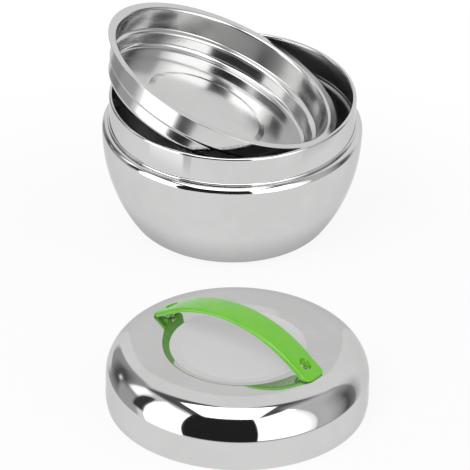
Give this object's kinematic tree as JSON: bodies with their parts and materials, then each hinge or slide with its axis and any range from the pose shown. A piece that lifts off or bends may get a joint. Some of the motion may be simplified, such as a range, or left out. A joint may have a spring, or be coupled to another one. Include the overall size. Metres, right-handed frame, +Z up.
{
  "type": "insulated lunch box",
  "caption": "Round insulated lunch box: double-walled steel pot with a collar, a shallow tray leaning in its mouth, and a domed lid with a strap handle lying beside it.",
  "frame": {"origin": "centre of the pot's flat base, on the surface it stands on", "axes": "+Z up along the pot's axis; the lid lies towards -Y; the tray's opening leans towards +X"},
  "size_m": [0.1719, 0.3869, 0.1341],
  "materials": {
    "polished_steel": "mirror-polished stainless steel sheet",
    "insulation_foam": "rigid foam filling, hidden between the walls",
    "silicone": "pale silicone sealing ring",
    "green_plastic": "satin moulded plastic, leaf green",
    "screw_steel": "plain steel screws, washers and nuts"
  },
  "bodies": {
    "pot": {"pot_outer_shell": "polished_steel", "pot_inner_liner": "polished_steel", "pot_insulation": "insulation_foam"},
    "tray": {"food_tray": "polished_steel"},
    "lid": {"lid_outer_shell": "polished_steel", "lid_inner_liner": "polished_steel", "lid_insulation": "insulation_foam", "lid_gasket": "silicone", "handle": "green_plastic", "handle_screw_left": "screw_steel", "handle_screw_right": "screw_steel", "screw_washer_left": "screw_steel", "screw_washer_right": "screw_steel", "screw_nut_left": "screw_steel", "screw_nut_right": "screw_steel"}
  },
  "joints": [
    {"name": "tray_lift", "type": "slide", "parent": "pot", "child": "tray", "axis": [0, 0, 1], "range_m": [0, 0.1]},
    {"name": "lid_lift", "type": "slide", "parent": "pot", "child": "lid", "axis": [0, 0, 1], "range_m": [0, 0.15]}
  ]
}
